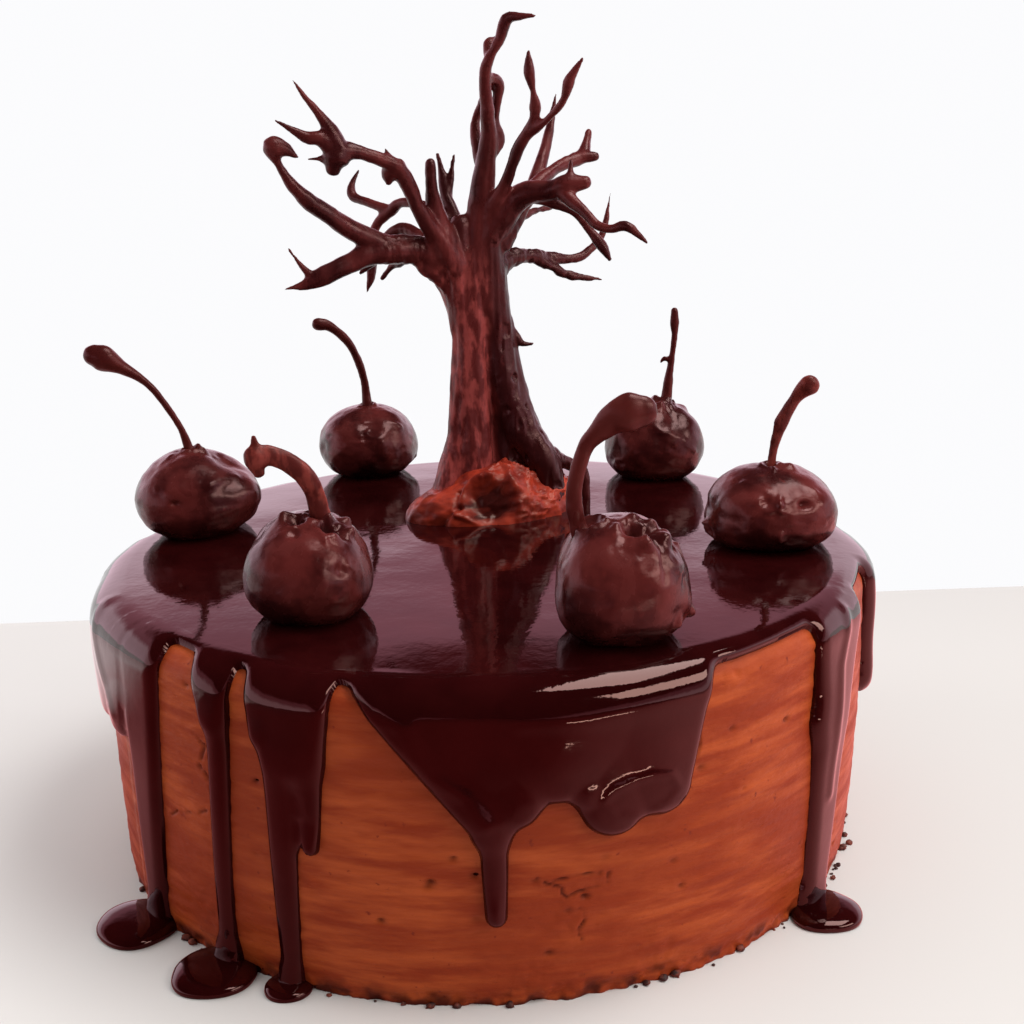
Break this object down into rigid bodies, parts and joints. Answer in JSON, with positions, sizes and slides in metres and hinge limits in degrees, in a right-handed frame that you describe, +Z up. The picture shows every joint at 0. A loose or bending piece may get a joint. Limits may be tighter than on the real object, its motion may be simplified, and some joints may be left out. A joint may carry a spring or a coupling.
{
  "type": "black forest cake",
  "caption": "Round uncut chocolate buttercream cake with glossy ganache running down its side, chocolate-dipped cherries round the top and a modelled chocolate tree in the middle.",
  "frame": {"origin": "centre of the cake's flat bottom, on the surface it stands on", "axes": "+Z up through the middle of the cake, -Y towards the front, where the broad curtain of ganache hangs, +X to the right seen from the front"},
  "size_m": [0.2064, 0.203, 0.2115],
  "materials": {
    "buttercream": "matte chocolate buttercream",
    "ganache": "poured dark ganache, mirror gloss",
    "tree_chocolate": "hand-modelled dark chocolate, satin",
    "dipped_chocolate": "dipped chocolate coat, satin",
    "stem_chocolate": "thin chocolate on the stem, satin"
  },
  "bodies": {
    "root": {"cake": "buttercream", "ganache": "ganache", "tree": "tree_chocolate", "mound": "buttercream", "cherry_front_left": "dipped_chocolate", "stem_front_left": "stem_chocolate", "cherry_front_right": "dipped_chocolate", "stem_front_right": "stem_chocolate", "cherry_left": "dipped_chocolate", "stem_left": "stem_chocolate", "cherry_back_left": "dipped_chocolate", "stem_back_left": "stem_chocolate", "cherry_back_right": "dipped_chocolate", "stem_back_right": "stem_chocolate", "cherry_right": "dipped_chocolate", "stem_right": "stem_chocolate"}
  },
  "joints": []
}
